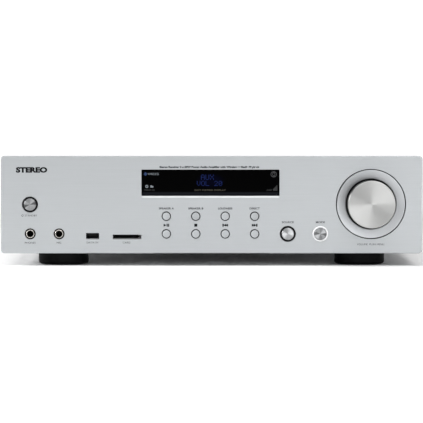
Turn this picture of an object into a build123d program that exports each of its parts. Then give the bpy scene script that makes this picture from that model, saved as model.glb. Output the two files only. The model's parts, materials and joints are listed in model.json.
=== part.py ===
"""Full-width stereo amplifier-receiver, built as a bench assembly of separate pieces.

Millimetres. +X is to the right as a listener faces the front panel, +Y runs from the front
panel to the back, +Z is up. The origin is under the middle of the whole unit, on the shelf.
Each function returns the solids of one sub-part, already in place. Depths of front parts are
given from the front face of the panel, and depths of rear parts from the back of the case.
"""
import os
from math import cos, radians, sin

from build123d import *

# ---------------------------------------------------------------- driving dimensions
PANEL_W = 430.0          # full-width component
PANEL_H = 99.4
PANEL_T = 7.0
PANEL_Z = 12.7           # gap under the panel
PANEL_CORNER_R = 4.0
PANEL_EDGE_R = 0.8       # rounding of the front edges
RIM_BREAK = 0.15         # edge break round every opening in the panel
BODY_D = 300.0           # front of the panel to the back of the case
KNOB_OUT = 18.0          # volume knob in front of the panel
REAR_OUT = 22.0          # longest rear fitting behind the case

CASE_W = 425.0           # over the cover's sides
STEEL = 1.0
CASE_Z = 15.0            # underside of the bottom pan
COVER_TOP = 106.0

FRONT = KNOB_OUT - (KNOB_OUT + BODY_D + REAR_OUT) / 2     # Y of the panel's face
REAR = FRONT + BODY_D                                     # Y of the rear panel's outer face
PANEL_MID_Z = PANEL_Z + PANEL_H / 2

FRAME_T = 2.0            # moulded frame behind the panel
FRAME_Y = PANEL_T + FRAME_T
BOARD_Y = 20.0           # control board, behind the panel's face
BOARD_T = 1.6
FLOOR_Z = CASE_Z + STEEL
INNER_X = CASE_W / 2 - STEEL - 0.5
INNER_TOP = COVER_TOP - STEEL - 0.2

# Controls and sockets: (x, z) of each centre
KNOB_AT = (162.5, 63.0)
STANDBY_AT = (-185.0, 62.5)
SOURCE_AT = (77.8, 32.6)
MODE_AT = (111.0, 32.6)
PHONES_AT = (-184.8, 32.6)
MIC_AT = (-155.4, 32.6)
USB_AT = (-121.2, 30.6)
CARD_AT = (-86.1, 29.8)
SMALL_X0, SMALL_PITCH_X = -46.0, 30.0
SMALL_Z = (50.6, 32.6)
SMALL_NAMES = (
    ("speaker_a", "speaker_b", "loudness", "direct"),
    ("play", "stop", "previous", "next"),
)

# Display window
WINDOW_AT = (-1.0, 84.65)
WINDOW_W, WINDOW_H = 140.7, 26.9
WINDOW_RECESS = 1.6
WINDOW_BEVEL = 1.6       # height of the polished bevel under the window
WINDOW_STEP = 4.0        # depth where the pocket for the window's flange begins
WINDOW_FLANGE = 2.75     # flange beyond the opening, all round

# Volume knob and its dish
DISH_HOLE_R = 35.7
DISH_R = 34.8
DISH_FLANGE_R = 38.5
WELL_R = 25.8
WELL_Y = 5.0
DISH_BACK = 8.5
KNOB_R = 24.1
KNOB_BASE_Y = 3.6
SHAFT_R = 3.0
BUSH_R = 4.5
PUSH_TRAVEL = 0.8

# Push buttons
SMALL_R, SMALL_HOLE_R = 4.15, 4.7
SMALL_OUT = 1.2
BIG_R, RING_BORE_R, RING_R, BIG_HOLE_R = 6.1, 6.2, 8.0, 8.1
BIG_OUT = 2.2
SLEEVE_END = 11.0
STEM_END = 14.3
TACT_TOP = 15.4

# Sockets
JACK_BORE_R, JACK_BUSH_R, JACK_COLLAR_R, JACK_HOLE_R = 3.2, 4.2, 5.5, 5.6
JACK_OUT = -0.4          # the bushes stand this far into or out of the panel
JACK_END = 35.0
JACK_DEPTH = 32.0
USB_W, USB_H = 13.2, 5.6
CARD_W, CARD_H = 29.0, 4.0
SLOT_BEVEL = 0.9         # bevel under the data socket and the card slot
SOCKET_BOARD_Z = 24.0    # top of the socket board, which the sockets stand on

# Feet
FOOT_R = 25.8
FOOT_X = 152.5
FOOT_SETBACK = 38.0      # foot centre behind the panel's face
FOOT_REAR = 48.0         # foot centre in front of the rear panel
FOOT_BASE = 0.6          # the moulded foot clears the shelf, and its rubber ring stands on it

# Rear fittings
POST_X0, POST_PITCH_X = -98.0, 22.0
POST_Z = (64.0, 42.0)
POST_NAMES = (
    ("a_left_minus", "a_left_plus", "a_right_minus", "a_right_plus"),
    ("b_left_minus", "b_left_plus", "b_right_minus", "b_right_plus"),
)
STUD_R, BANANA_R = 2.9, 2.05
CAP_R = 7.2
RCA_X0, RCA_PITCH_X = 92.0, 18.0
RCA_Z = (64.0, 46.0)
RCA_COLUMNS = 4
RCA_SLEEVE_R, RCA_SLEEVE_BORE = 4.15, 3.3
INLET_AT = (-176.0, 44.0)
SWITCH_AT = (-176.0, 80.0)
ROCKER_TILT = 11.0
ANTENNA_AT = (10.0, 88.0)
ANTENNA_PIVOT = 16.0     # pivot behind the rear panel
ANTENNA_LENGTH = 85.0

# Inside
TRANSFORMER_AT = (-142.0, FRONT + 97.0)
TRANSFORMER_R, TRANSFORMER_BORE, TRANSFORMER_H = 54.0, 18.0, 45.0
MAIN_BOARD_X = (-66.0, 202.0)
MAIN_BOARD_Z = 24.0
MAIN_BOARD_Y = (221.5, 290.0)     # behind the panel's face
HEATSINK_X = (-60.0, 100.0)
HEATSINK_Y = (175.0, 221.0)
HEATSINK_TOP = 96.0

SCREW_R, SCREW_HOLE_R = 1.9, 2.05
SCREW_HEAD_R, SCREW_HEAD_H = 3.4, 2.2
SIDE_SCREW_Y = (60.0, 240.0)
SIDE_SCREW_Z = 23.0
REAR_SCREW_X = (-190.0, 0.0, 190.0)
LIP_H = 10.0             # the cover's rear lip


# ---------------------------------------------------------------- helpers
def block(xs, ys, zs):
    """A box between two limits on each axis."""
    size = [high - low for low, high in (xs, ys, zs)]
    middle = [(high + low) / 2 for low, high in (xs, ys, zs)]
    return Pos(*middle) * Box(*size)


def centred(at, width, height, ys):
    """A box round an (x, z) centre, from one depth to another."""
    x, z = at
    return block((x - width / 2, x + width / 2), ys, (z - height / 2, z + height / 2))


def rod_y(at, radius, y0, y1):
    """A cylinder along Y at an (x, z) centre."""
    return Pos(at[0], (y0 + y1) / 2, at[1]) * Rot(90, 0, 0) * Cylinder(radius, y1 - y0)


def rod_z(at, radius, z0, z1):
    """A cylinder along Z at an (x, y) centre."""
    return Pos(at[0], at[1], (z0 + z1) / 2) * Cylinder(radius, z1 - z0)


def rod_x(at, radius, x0, x1):
    """A cylinder along X at a (y, z) centre."""
    return Pos((x0 + x1) / 2, at[0], at[1]) * Rot(0, 90, 0) * Cylinder(radius, x1 - x0)


def plate_y(sketch, y0, y1):
    """Extrudes a sketch drawn in X and Z from one depth to another."""
    return Pos(0, y1, 0) * Rot(90, 0, 0) * extrude(sketch, y1 - y0)


def turned_y(at, points):
    """A body of revolution about Y at an (x, z) centre, from (radius, y) points."""
    profile = make_face(Polyline(*points, close=True))
    return Pos(at[0], 0, at[1]) * revolve(profile, Axis.Y)


def turned_z(at, points):
    """A body of revolution about Z at an (x, y) centre, from (radius, z) points."""
    profile = make_face(Polyline(*[(r, 0, z) for r, z in points], close=True))
    return Pos(at[0], at[1], 0) * revolve(profile, Axis.Z)


def from_front(*depths):
    """Depths behind the panel's face as Y values."""
    return tuple(FRONT + depth for depth in depths)


def from_rear(*depths):
    """Depths behind the case as Y values."""
    return tuple(REAR + depth for depth in depths)


def small_buttons():
    """(name, (x, z)) of the eight small buttons."""
    for row, names in enumerate(SMALL_NAMES):
        for column, name in enumerate(names):
            yield name, (SMALL_X0 + column * SMALL_PITCH_X, SMALL_Z[row])


def big_buttons():
    """(name, (x, z)) of the three large buttons."""
    return ("standby", STANDBY_AT), ("source", SOURCE_AT), ("mode", MODE_AT)


def posts():
    """(name, (x, z)) of the eight binding posts."""
    for row, names in enumerate(POST_NAMES):
        for column, name in enumerate(names):
            yield name, (POST_X0 + column * POST_PITCH_X, POST_Z[row])


def rca_places():
    """(x, z) of each line socket, column by column."""
    return [(RCA_X0 + c * RCA_PITCH_X, z) for c in range(RCA_COLUMNS) for z in RCA_Z]


def foot_places():
    """(x, y) of each foot."""
    ys = (FRONT + FOOT_SETBACK, REAR - FOOT_REAR)
    return [(x, y) for y in ys for x in (-FOOT_X, FOOT_X)]


def slot_field(xs, ys, length, width, turn=90):
    """A sketch of slots centred on each x and y."""
    slots = [Pos(x, y) * Rot(0, 0, turn) * SlotOverall(length, width) for y in ys for x in xs]
    return Sketch() + slots


def spread(start, step, count):
    """Evenly spaced places."""
    return [start + step * i for i in range(count)]


# ---------------------------------------------------------------- enclosure
def front_panel():
    """Brushed aluminium plate with every front opening, and a polished ledge under the window."""
    outline = Pos(0, PANEL_MID_Z) * RectangleRounded(PANEL_W, PANEL_H, PANEL_CORNER_R)
    plate = plate_y(outline, *from_front(0, PANEL_T))
    plate = fillet(plate.edges().group_by(Axis.Y)[0], PANEL_EDGE_R)

    through = from_front(-1, PANEL_T + 1)
    cuts = [rod_y(at, SMALL_HOLE_R, *through) for _, at in small_buttons()]
    cuts += [rod_y(at, BIG_HOLE_R, *through) for _, at in big_buttons()]
    cuts += [rod_y(at, JACK_HOLE_R, *through) for at in (PHONES_AT, MIC_AT)]
    cuts += [rod_y(KNOB_AT, DISH_HOLE_R, *through)]
    cuts += [centred(USB_AT, USB_W, USB_H, through)]
    cuts += [centred(CARD_AT, CARD_W, CARD_H, through)]
    window = Pos(*WINDOW_AT) * RectangleRounded(WINDOW_W, WINDOW_H, 0.8)
    cuts += [plate_y(window, *through)]
    plate -= cuts

    face = plate.faces().sort_by(Axis.Y)[0]
    rims = [edge for wire in face.inner_wires() for edge in wire.edges()]
    plate = chamfer(rims, RIM_BREAK)

    grown = 2 * WINDOW_FLANGE + 0.5
    pocket = from_front(WINDOW_STEP, PANEL_T + 1)
    plate -= centred(WINDOW_AT, WINDOW_W + grown, WINDOW_H + grown, pocket)
    plate -= bevel_under(WINDOW_AT, WINDOW_W, WINDOW_H, WINDOW_BEVEL, WINDOW_RECESS)
    plate -= bevel_under(USB_AT, USB_W, USB_H, SLOT_BEVEL, SLOT_BEVEL)
    return plate - bevel_under(CARD_AT, CARD_W, CARD_H, SLOT_BEVEL, SLOT_BEVEL)


def bevel_under(at, width, height, drop, recess):
    """The wedge cut away along the bottom edge of an opening."""
    lead = 0.5
    wedge = Polyline(
        (0, -lead, -drop - lead * drop / recess),
        (0, -lead, 1.0),
        (0, recess, 1.0),
        (0, recess, 0.0),
        close=True,
    )
    start = Pos(at[0] - width / 2, FRONT, at[1] - height / 2)
    return start * extrude(make_face(wedge), width, dir=(1, 0, 0))


def frame_boss_places():
    """(x, z) of the pillars that carry the control board."""
    return (-200, 100), (-200, 50), (-100, 100), (86, 100), (118, 96), (205, 28), (60, 28), (-58, 28)


def front_frame():
    """Moulded frame behind the panel: guide sleeves for the buttons and pillars for the board."""
    height = INNER_TOP - CASE_Z
    outline = Pos(0, CASE_Z + height / 2) * Rectangle(2 * INNER_X, height)
    frame = plate_y(outline, *from_front(PANEL_T, FRAME_Y))
    frame += [rod_y(at, 5.6, *from_front(FRAME_Y, SLEEVE_END)) for _, at in small_buttons()]
    frame += [rod_y(at, 3.0, *from_front(FRAME_Y, BOARD_Y)) for at in frame_boss_places()]

    through = from_front(PANEL_T - 1, SLEEVE_END + 1)
    frame -= [rod_y(at, SMALL_R + 0.1, *through) for _, at in small_buttons()]
    frame -= [rod_y(at, RING_R + 1.5, *through) for _, at in big_buttons()]
    frame -= [rod_y(at, JACK_HOLE_R, *through) for at in (PHONES_AT, MIC_AT)]
    frame -= rod_y(KNOB_AT, DISH_FLANGE_R + 0.5, *through)
    frame -= centred(USB_AT, USB_W, USB_H, through)
    frame -= centred(CARD_AT, CARD_W, CARD_H, through)
    frame -= centred(WINDOW_AT, 134.0, 29.0, through)
    return frame


def bottom_chassis():
    """Folded steel pan with side, front and rear lips, board standoffs and ventilation slots."""
    y0, y1 = FRONT + FRAME_Y, REAR - STEEL
    width = 2 * INNER_X
    floor = Pos(0, (y0 + y1) / 2) * Rectangle(width, y1 - y0)
    floor -= slot_field(spread(-34, 9, 15), [(y0 + y1) / 2 + 53], 34, 3.2)
    floor -= slot_field(spread(-190, 9, 11), [(y0 + y1) / 2 + 30], 26, 3.2)
    pan = Pos(0, 0, CASE_Z) * extrude(floor, STEEL)

    side_top, lip_top = FLOOR_Z + 16, FLOOR_Z + 6
    for side in (-1, 1):
        edge = sorted((side * INNER_X, side * (INNER_X - STEEL)))
        pan += block(edge, (y0, y1), (FLOOR_Z, side_top))
    inside = (-INNER_X + STEEL, INNER_X - STEEL)
    pan += block(inside, (y0, y0 + STEEL), (FLOOR_Z, lip_top))
    pan += block(inside, (y1 - STEEL, y1), (FLOOR_Z, side_top))
    pan += [rod_z(at, 3.0, FLOOR_Z, MAIN_BOARD_Z) for at in standoff_places()]
    pan += [rod_z(at, 3.0, FLOOR_Z, SOCKET_BOARD_Z - BOARD_T) for at in socket_standoffs()]

    bolt_z = (CASE_Z - 1, FLOOR_Z + 1)
    pan -= [rod_z(at, SCREW_HOLE_R, *bolt_z) for at in foot_places()]
    pan -= rod_z(TRANSFORMER_AT, 3.1, *bolt_z)
    pan -= side_screw_holes()
    rear_hole = (y1 - 2 * STEEL, REAR + 1)
    pan -= [rod_y((x, SIDE_SCREW_Z), SCREW_HOLE_R, *rear_hole) for x in REAR_SCREW_X]
    notch_x = (RCA_X0 - 11, RCA_X0 + (RCA_COLUMNS - 1) * RCA_PITCH_X + 11)
    return pan - block(notch_x, rear_hole, (FLOOR_Z + 2, side_top + 1))


def standoff_places():
    """(x, y) of the pillars under the main board."""
    ys = (FRONT + MAIN_BOARD_Y[0] + 6, FRONT + MAIN_BOARD_Y[1] - 8)
    return [(x, y) for y in ys for x in (MAIN_BOARD_X[0] + 6, 70, MAIN_BOARD_X[1] - 6)]


def socket_standoffs():
    """(x, y) of the pillars under the socket board."""
    ys = from_front(16, 33)
    return [(x, y) for y in ys for x in (-200, -138, -72)]


def side_screw_holes():
    """Through cuts for the screws that hold the cover to the pan."""
    reach = CASE_W / 2 + 1
    ys = from_front(*SIDE_SCREW_Y)
    return [rod_x((y, SIDE_SCREW_Z), SCREW_HOLE_R, -reach, reach) for y in ys]


def lip_screw_z():
    """Height of the screws through the cover's rear lip."""
    return COVER_TOP - STEEL - LIP_H / 2


def rear_panel():
    """Steel plate with the cut-outs for every rear fitting and a row of slots."""
    height = INNER_TOP - CASE_Z
    sheet = Pos(0, CASE_Z + height / 2) * Rectangle(2 * INNER_X - 0.2, height)
    middle = (POST_X0 + 1.5 * POST_PITCH_X, sum(POST_Z) / 2)
    sheet -= Pos(*middle) * Rectangle(88.4, 40.4)
    sheet -= Pos(*INLET_AT) * Rectangle(27.4, 20.2)
    sheet -= Pos(*SWITCH_AT) * Rectangle(13.0, 19.4)
    sheet -= Pos(*ANTENNA_AT) * Circle(3.3)
    sheet -= [Pos(*at) * Circle(5.3) for at in rca_places()]
    sheet -= slot_field(spread(28, 8, 5), [56], 34, 3.0)
    sheet -= slot_field(spread(170, 8, 4), [56], 34, 3.0)
    screw_rows = (SIDE_SCREW_Z, lip_screw_z())
    sheet -= [Pos(x, z) * Circle(SCREW_HOLE_R) for z in screw_rows for x in REAR_SCREW_X]
    return plate_y(sheet, *from_rear(-STEEL, 0))


def top_cover():
    """Wrap-round steel cover: ventilated top, slotted sides and a lip over the rear panel."""
    half, height = CASE_W / 2, COVER_TOP - CASE_Z
    outer = fillet(Rectangle(CASE_W, height).vertices().group_by(Axis.Y)[-1], 2.0)
    inner = Rectangle(CASE_W - 2 * STEEL, height)
    inner = Pos(0, -STEEL) * fillet(inner.vertices().group_by(Axis.Y)[-1], 1.0)
    section = Pos(0, CASE_Z + height / 2) * (outer - inner)
    cover = plate_y(section, FRONT + PANEL_T + 0.2, REAR)

    top_slots = slot_field(spread(-76, 9, 23), from_front(165, 205, 245), 32, 3.4)
    top_slots += slot_field(spread(-186, 9, 11), from_front(80, 120), 32, 3.4)
    cover -= Pos(0, 0, COVER_TOP - 2) * extrude(top_slots, 3)
    side_slots = slot_field(spread(FRONT + 170, 9, 11), [66], 44, 3.4)
    cover -= Plane.YZ * extrude(side_slots, half + 1, both=True)

    lip_z = (COVER_TOP - STEEL - LIP_H, COVER_TOP)
    cover += block((2 - half, half - 2), (REAR, REAR + STEEL), lip_z)
    cover -= side_screw_holes()
    lip_hole = from_rear(-0.5, STEEL + 1)
    cover -= [rod_y((x, lip_screw_z()), SCREW_HOLE_R, *lip_hole) for x in REAR_SCREW_X]
    return cover


def feet():
    """Four round moulded feet, each with a screw well and a groove for its rubber ring."""
    profile = Polyline(
        (2.1, 0, 10), (8, 0, 10), (8, 0, FOOT_BASE), (10, 0, FOOT_BASE), (10, 0, 2.2),
        (20, 0, 2.2), (20, 0, FOOT_BASE), (FOOT_R - 3, 0, FOOT_BASE),
    )
    toe = TangentArc(profile @ 1, (FOOT_R, 0, FOOT_BASE + 3), tangent=(1, 0, 0))
    wall = Polyline(toe @ 1, (FOOT_R, 0, CASE_Z), (2.1, 0, CASE_Z), (2.1, 0, 10))
    foot = revolve(make_face([profile, toe, wall]), Axis.Z)
    return [Pos(x, y, 0) * foot for x, y in foot_places()]


def foot_pads():
    """Rubber rings that the unit stands on."""
    points = [(10.1, 0), (19.9, 0), (19.9, 2.2), (10.1, 2.2)]
    return [turned_z(at, points) for at in foot_places()]


def screw(head_h=SCREW_HEAD_H, length=8.0):
    """A cross-head screw along Z with its head's underside at the origin and its shank down."""
    head = turned_z(
        (0, 0),
        [(0, 0), (SCREW_HEAD_R, 0), (SCREW_HEAD_R, head_h * 0.55), (SCREW_HEAD_R * 0.6, head_h), (0, head_h)],
    )
    body = head + rod_z((0, 0), SCREW_R, -length, 0)
    for turn in (0, 90):
        body -= Rot(0, 0, turn) * Pos(0, 0, head_h - 0.5) * Box(3.4, 0.8, 1.4)
    return body


def case_screws():
    """Cover, rear panel and foot screws."""
    half = CASE_W / 2
    plain = screw()
    found = []
    for y in from_front(*SIDE_SCREW_Y):
        found.append(Pos(half, y, SIDE_SCREW_Z) * Rot(0, 90, 0) * plain)
        found.append(Pos(-half, y, SIDE_SCREW_Z) * Rot(0, -90, 0) * plain)
    for x in REAR_SCREW_X:
        found.append(Pos(x, REAR + STEEL, lip_screw_z()) * Rot(-90, 0, 0) * plain)
        found.append(Pos(x, REAR, SIDE_SCREW_Z) * Rot(-90, 0, 0) * plain)
    found += [Pos(x, y, 10) * Rot(180, 0, 0) * screw(length=9.0) for x, y in foot_places()]
    return found


# ---------------------------------------------------------------- front: display and volume
def display_window():
    """Smoked acrylic window, recessed in the panel and held by its flange."""
    x, z = WINDOW_AT
    front = Pos(x, z) * RectangleRounded(WINDOW_W - 0.3, WINDOW_H - 0.3, 0.7)
    lens = plate_y(front, *from_front(WINDOW_RECESS, WINDOW_STEP))
    size = 2 * WINDOW_FLANGE
    flange = from_front(WINDOW_STEP, WINDOW_STEP + 2)
    return lens + centred(WINDOW_AT, WINDOW_W + size, WINDOW_H + size, flange)


def display_module():
    """Dot-matrix display in its holder, on the control board."""
    return centred(WINDOW_AT, 132.0, 27.0, from_front(WINDOW_STEP + 2.3, BOARD_Y))


def volume_dish():
    """Turned aluminium dish round the knob, held from behind by its flange."""
    points = [
        (4.7, WELL_Y), (WELL_R, WELL_Y), (WELL_R, 1.5), (WELL_R + 0.5, 1.2), (DISH_R - 0.5, 0.3),
        (DISH_R, 0.6), (DISH_R, PANEL_T), (DISH_FLANGE_R, PANEL_T), (DISH_FLANGE_R, DISH_BACK),
        (4.7, DISH_BACK),
    ]
    return turned_y(KNOB_AT, [(r, FRONT + y) for r, y in points])


def volume_knob():
    """Turned aluminium knob: a hollow cup with a hub for the shaft."""
    rim = 0.7
    points = [
        (0, -KNOB_OUT), (KNOB_R - rim, -KNOB_OUT), (KNOB_R, rim - KNOB_OUT), (KNOB_R, KNOB_BASE_Y),
        (KNOB_R - 3, KNOB_BASE_Y), (KNOB_R - 3, 5 - KNOB_OUT), (7, 5 - KNOB_OUT), (7, -1),
        (SHAFT_R + 0.02, -1), (SHAFT_R + 0.02, 5 - KNOB_OUT), (0, 5 - KNOB_OUT),
    ]
    return turned_y(KNOB_AT, [(r, FRONT + y) for r, y in points])


def volume_shaft():
    """Encoder shaft, from inside the encoder to the knob's hub."""
    return rod_y(KNOB_AT, SHAFT_R, *from_front(5.2 - KNOB_OUT, 12))


def volume_encoder():
    """Rotary encoder: threaded bush through the dish, nut, and a body on the control board."""
    y0, y1 = from_front(DISH_BACK, BOARD_Y)
    body = centred(KNOB_AT, 14, 14, (y0, y1))
    body += rod_y(KNOB_AT, BUSH_R, FRONT + 2, y0)
    body += turned_nut(KNOB_AT, 7.0, *from_front(2.8, WELL_Y))
    return body - rod_y(KNOB_AT, SHAFT_R + 0.06, *from_front(0, 16.2))


def turned_nut(at, flats, y0, y1):
    """A hexagon nut along Y."""
    return plate_y(Pos(*at) * RegularPolygon(flats, 6), y0, y1)


def volume_plunger():
    """The push switch's plunger, behind the shaft."""
    return rod_y(KNOB_AT, 2.9, *from_front(12.1, 14.9))


# ---------------------------------------------------------------- front: buttons
def small_button(at):
    """Dished aluminium cap with a retaining flange and a stem for its switch."""
    rim, sink = SMALL_R - 0.6, 0.15
    points = [
        (0, -SMALL_OUT), (rim, -SMALL_OUT), (SMALL_R - 0.3, -SMALL_OUT), (SMALL_R, 0.3 - SMALL_OUT),
        (SMALL_R, SLEEVE_END + 0.3), (5.6, SLEEVE_END + 0.3), (5.6, SLEEVE_END + 1.3),
        (1.6, SLEEVE_END + 1.3), (1.6, STEM_END), (0, STEM_END),
    ]
    cap = turned_y(at, [(r, FRONT + y) for r, y in points])
    ball = (rim**2 + sink**2) / (2 * sink)
    return cap - Pos(at[0], FRONT - SMALL_OUT + sink - ball, at[1]) * Sphere(ball)


def big_button(at):
    """Turned aluminium cap that runs in its ring."""
    points = [
        (0, -BIG_OUT), (BIG_R - 0.4, -BIG_OUT), (BIG_R, 0.4 - BIG_OUT), (BIG_R, FRAME_Y + 0.3),
        (8.0, FRAME_Y + 0.3), (8.0, FRAME_Y + 1.5), (2.0, FRAME_Y + 1.5), (2.0, STEM_END),
        (0, STEM_END),
    ]
    return turned_y(at, [(r, FRONT + y) for r, y in points])


def button_ring(at):
    """Light ring round a large button, with a flange behind the panel."""
    points = [
        (RING_BORE_R, 0.0), (RING_BORE_R + 0.4, -0.5), (RING_R - 0.4, -0.5), (RING_R, -0.1),
        (RING_R, PANEL_T), (RING_R + 1.4, PANEL_T), (RING_R + 1.4, FRAME_Y), (RING_BORE_R, FRAME_Y),
    ]
    return turned_y(at, [(r, FRONT + y) for r, y in points])


def tact_switches():
    """A switch on the control board behind each button."""
    found = []
    for _, at in (*small_buttons(), *big_buttons()):
        body = centred(at, 6, 6, from_front(TACT_TOP + 1.1, BOARD_Y))
        found.append(body + rod_y(at, 1.75, *from_front(TACT_TOP, TACT_TOP + 1.1)))
    return found


def control_board():
    """Front circuit board, with an arm over the sockets to reach the standby switch."""
    ys = from_front(BOARD_Y, BOARD_Y + BOARD_T)
    top = INNER_TOP - 0.8
    return block((-62, 208), ys, (20, top)) + block((-207, -62), ys, (46, top))


# ---------------------------------------------------------------- front: sockets
def jack_body(at):
    """Moulded body of a 6.35 mm jack socket, with a collar round its bush."""
    x, back = at[0], FRAME_Y + 0.3
    body = block((x - 7.5, x + 7.5), from_front(back, JACK_END), (SOCKET_BOARD_Z, 41.2))
    body += rod_y(at, JACK_COLLAR_R, *from_front(0.2, back))
    body -= rod_y(at, JACK_BUSH_R + 0.03, *from_front(0, back))
    return body - rod_y(at, JACK_BORE_R, *from_front(0, JACK_DEPTH))


def jack_bush(at):
    """Plated bush in front of a jack socket."""
    r0, r1, c, back = JACK_BORE_R, JACK_BUSH_R, 0.3, FRAME_Y + 0.3
    points = [(r0, JACK_OUT), (r1 - c, JACK_OUT), (r1, JACK_OUT + c), (r1, back), (r0, back)]
    return turned_y(at, [(r, FRONT + y) for r, y in points])


def usb_socket():
    """Type A socket: a folded shell on two legs, and the contact tongue."""
    x, z = USB_AT
    ys = from_front(FRAME_Y + 0.2, 25)
    wall = 0.6
    shell = centred(USB_AT, USB_W + 2 * wall, USB_H + 2 * wall, ys)
    shell -= centred(USB_AT, USB_W, USB_H, (ys[0] - 1, ys[1] - 2))
    for side in (-1, 1):
        leg = (x + side * 6 - 0.5, x + side * 6 + 0.5)
        shell += block(leg, (ys[0] + 2, ys[0] + 8), (SOCKET_BOARD_Z, z - USB_H / 2 - wall))
    tongue = block((x - 5.5, x + 5.5), (ys[0] + 0.8, ys[1] - 2), (z + 0.2, z + 2.1))
    return [shell, tongue]


def card_slot():
    """Memory card slot, standing on the socket board."""
    x, z = CARD_AT
    ys = from_front(FRAME_Y + 0.2, 36)
    housing = block((x - 15.6, x + 15.6), ys, (SOCKET_BOARD_Z, z + 3))
    return housing - centred(CARD_AT, 27.6, 2.7, (ys[0] - 1, ys[1] - 2))


def socket_board():
    """Circuit board under the front sockets."""
    zs = (SOCKET_BOARD_Z - BOARD_T, SOCKET_BOARD_Z)
    return block((-206, -66), from_front(FRAME_Y + 1.6, 37), zs)


# ---------------------------------------------------------------- rear fittings
def rca_block():
    """Line socket housing with a boss through the rear panel, and an insulator in each socket."""
    right = RCA_X0 + (RCA_COLUMNS - 1) * RCA_PITCH_X
    housing = block((RCA_X0 - 10, right + 10), from_rear(-18, -STEEL), (MAIN_BOARD_Z + BOARD_T, 74))
    housing += [rod_y(at, 5.2, *from_rear(-STEEL, 1.2)) for at in rca_places()]
    found = [housing]
    for at in rca_places():
        insert = rod_y(at, RCA_SLEEVE_BORE - 0.05, *from_rear(1.2, 7.7))
        found.append(insert - rod_y(at, 1.65, *from_rear(1.2, 8)))
    return found


def rca_sleeves():
    """Plated outer contacts of the line sockets."""
    r0, r1, c = RCA_SLEEVE_BORE, RCA_SLEEVE_R, 0.3
    points = [(r0, 1.2), (r1, 1.2), (r1, 9.5 - c), (r1 - c, 9.5), (r0, 9.5)]
    return [turned_y(at, [(r, REAR + y) for r, y in points]) for at in rca_places()]


def terminal_block():
    """Insulating plate that carries the speaker terminals."""
    middle = (POST_X0 + 1.5 * POST_PITCH_X, sum(POST_Z) / 2)
    outline = Pos(*middle) * RectangleRounded(94, 46, 2)
    plate = plate_y(outline, *from_rear(0, 3))
    plate = fillet(plate.edges().group_by(Axis.Y)[-1], 0.8)
    plate += centred(middle, 88, 40, from_rear(-4, 0))
    return plate - [rod_y(at, STUD_R + 0.1, *from_rear(-5, 4)) for _, at in posts()]


def binding_posts():
    """Plated studs with a 4 mm socket down the middle and a cross hole for bare wire."""
    points = [
        (0, -7), (STUD_R, -7), (STUD_R, 3), (5.8, 3), (5.8, 4.5), (STUD_R, 4.5), (STUD_R, 21.6),
        (STUD_R - 0.4, 22), (BANANA_R, 22), (BANANA_R, 8.5), (0, 8.5),
    ]
    found = []
    for _, at in posts():
        stud = turned_y(at, [(r, REAR + y) for r, y in points])
        found.append(stud - rod_z((at[0], REAR + 6.2), 1.2, at[1] - 4, at[1] + 4))
    return found


def post_cap(at):
    """Fluted cap nut of one binding post."""
    bore, chamfered = STUD_R + 0.1, 0.6
    points = [
        (bore, 4.8), (CAP_R - chamfered, 4.8), (CAP_R, 4.8 + chamfered), (CAP_R, 20 - chamfered),
        (CAP_R - chamfered, 20), (bore, 20),
    ]
    cap = turned_y((0, 0), points)
    for i in range(12):
        turn = radians(30 * i)
        reach = CAP_R + 0.5
        cap -= rod_y((reach * cos(turn), reach * sin(turn)), 1.2, 7.5, 21)
    return Pos(at[0], REAR, at[1]) * cap


def mains_inlet():
    """Three-pin appliance inlet, snapped into the rear panel."""
    x, z = INLET_AT
    flange = plate_y(Pos(x, z) * RectangleRounded(31, 24, 2), *from_rear(0, 2.5))
    body = flange + centred(INLET_AT, 27, 19.8, from_rear(-20, 0))
    opening = Pos(x, z) * chamfer(Rectangle(24.4, 16.6).vertices().group_by(Axis.Y)[-1], 4.5)
    body -= plate_y(opening, *from_rear(-17, 4))
    pins = [
        centred((x + dx, z + dz), 2.0, 4.0, from_rear(-17, -1.5))
        for dx, dz in ((0, 2), (-7, -2), (7, -2))
    ]
    return [body, *pins]


def switch_housing():
    """Frame and body of the mains rocker switch."""
    rim = plate_y(Pos(*SWITCH_AT) * RectangleRounded(15.6, 22, 1.5), *from_rear(0, 2))
    body = rim + centred(SWITCH_AT, 12.6, 19, from_rear(-16, 0))
    body -= centred(SWITCH_AT, 10.6, 17.6, from_rear(-9, 3))
    x, z = SWITCH_AT
    return body - rod_x((REAR - 1, z), 1.3, x - 6.0, x + 6.0)


def power_rocker():
    """Rocker of the mains switch, tilted to its on position."""
    x, z = SWITCH_AT
    side = Polyline(
        (0, 4.2, 8.1), (0, 2.6, 0), (0, 4.2, -8.1), (0, 0.2, -8.1), (0, -5, -3), (0, -5, 3),
        (0, 0.2, 8.1), close=True,
    )
    half = 5.0
    paddle = Pos(-half, 0, 0) * extrude(make_face(side), 2 * half, dir=(1, 0, 0))
    paddle += rod_x((0, 0), 1.2, -5.9, 5.9)
    return Pos(x, REAR - 1, z) * Rot(ROCKER_TILT, 0, 0) * paddle


def antenna_jack():
    """Threaded antenna connector with its hexagon flange and lock nut."""
    jack = turned_nut(ANTENNA_AT, 4.6, *from_rear(0, 1.6))
    jack += rod_y(ANTENNA_AT, 3.1, *from_rear(-6, 8.5))
    return jack + turned_nut(ANTENNA_AT, 4.6, *from_rear(-3.2, -STEEL))


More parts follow.
